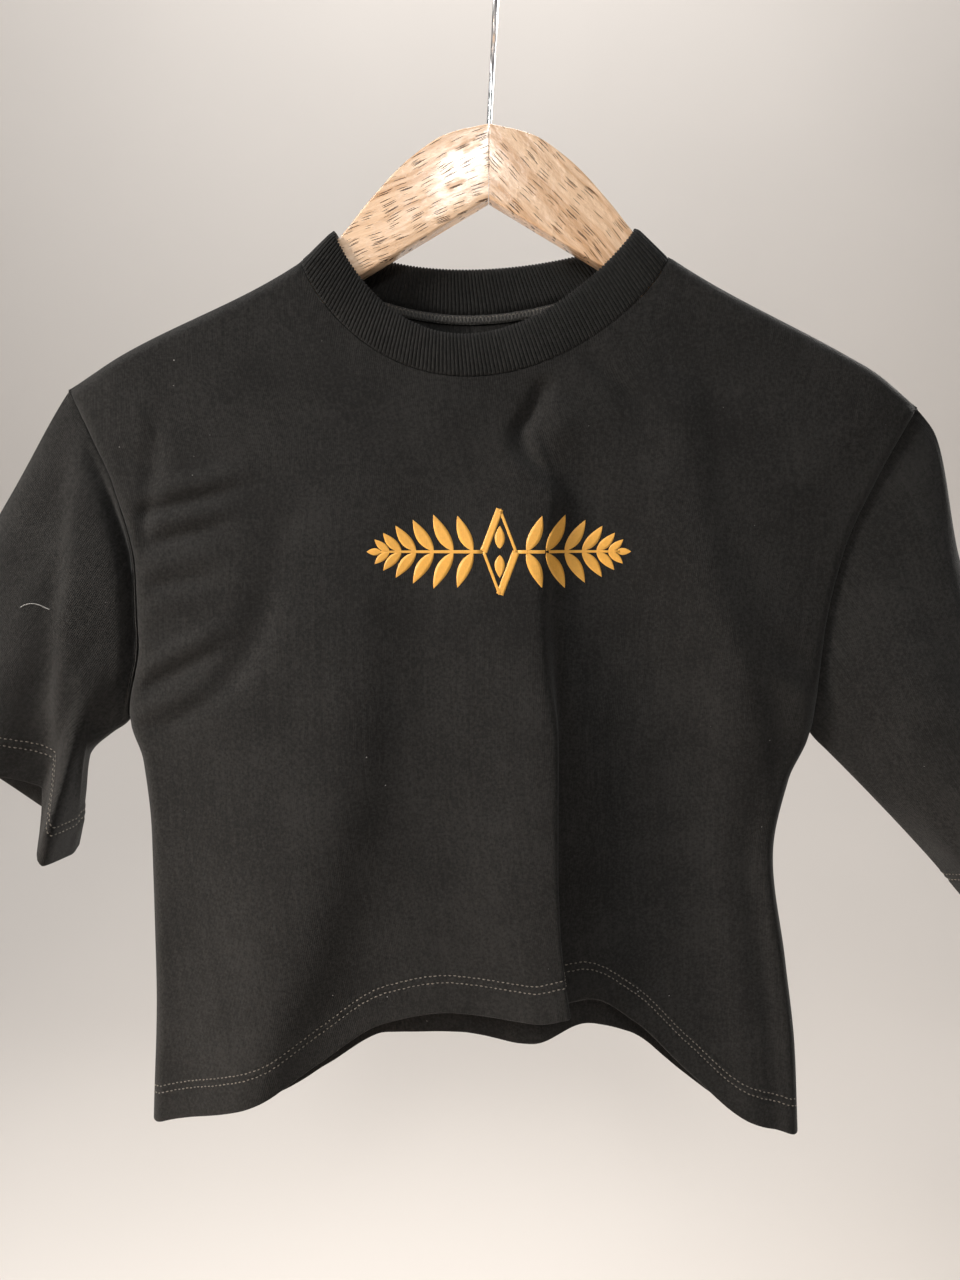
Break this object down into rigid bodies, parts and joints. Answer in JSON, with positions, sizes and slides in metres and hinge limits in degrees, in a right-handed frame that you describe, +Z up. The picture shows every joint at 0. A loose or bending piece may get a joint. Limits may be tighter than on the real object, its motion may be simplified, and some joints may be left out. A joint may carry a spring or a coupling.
{
  "type": "crop top on a wooden hanger",
  "caption": "Boxy cropped knit top with a ribbed crew neck, dropped shoulders and wide elbow sleeves, hanging open and nearly flat on a flat wooden hanger with a wire hook",
  "frame": {"origin": "inside top of the wire hook, where it bears on a rail", "axes": "+Z up, +X towards the wearer's left sleeve, -Y out of the front of the top; the hanger's arms lie in the XZ plane"},
  "size_m": [0.627, 0.0694, 0.6126],
  "materials": {
    "knit": "smooth thick black knit, matt with a faint bloom",
    "rib": "black one-by-one rib knit, matt",
    "thread": "charcoal sewing thread",
    "print": "thin golden yellow heat-transfer print, satin",
    "hanger_wood": "pale open-pored wood under clear gloss lacquer",
    "hook_wire": "bright plated steel wire"
  },
  "bodies": {
    "root": {"hanger_arm_left": "hanger_wood", "hanger_arm_right": "hanger_wood", "hanger_hook": "hook_wire", "front_panel": "knit", "back_panel": "knit", "sleeve_left": "knit", "sleeve_right": "knit", "neck_band": "rib", "neck_seam_allowance": "thread"}
  },
  "joints": []
}
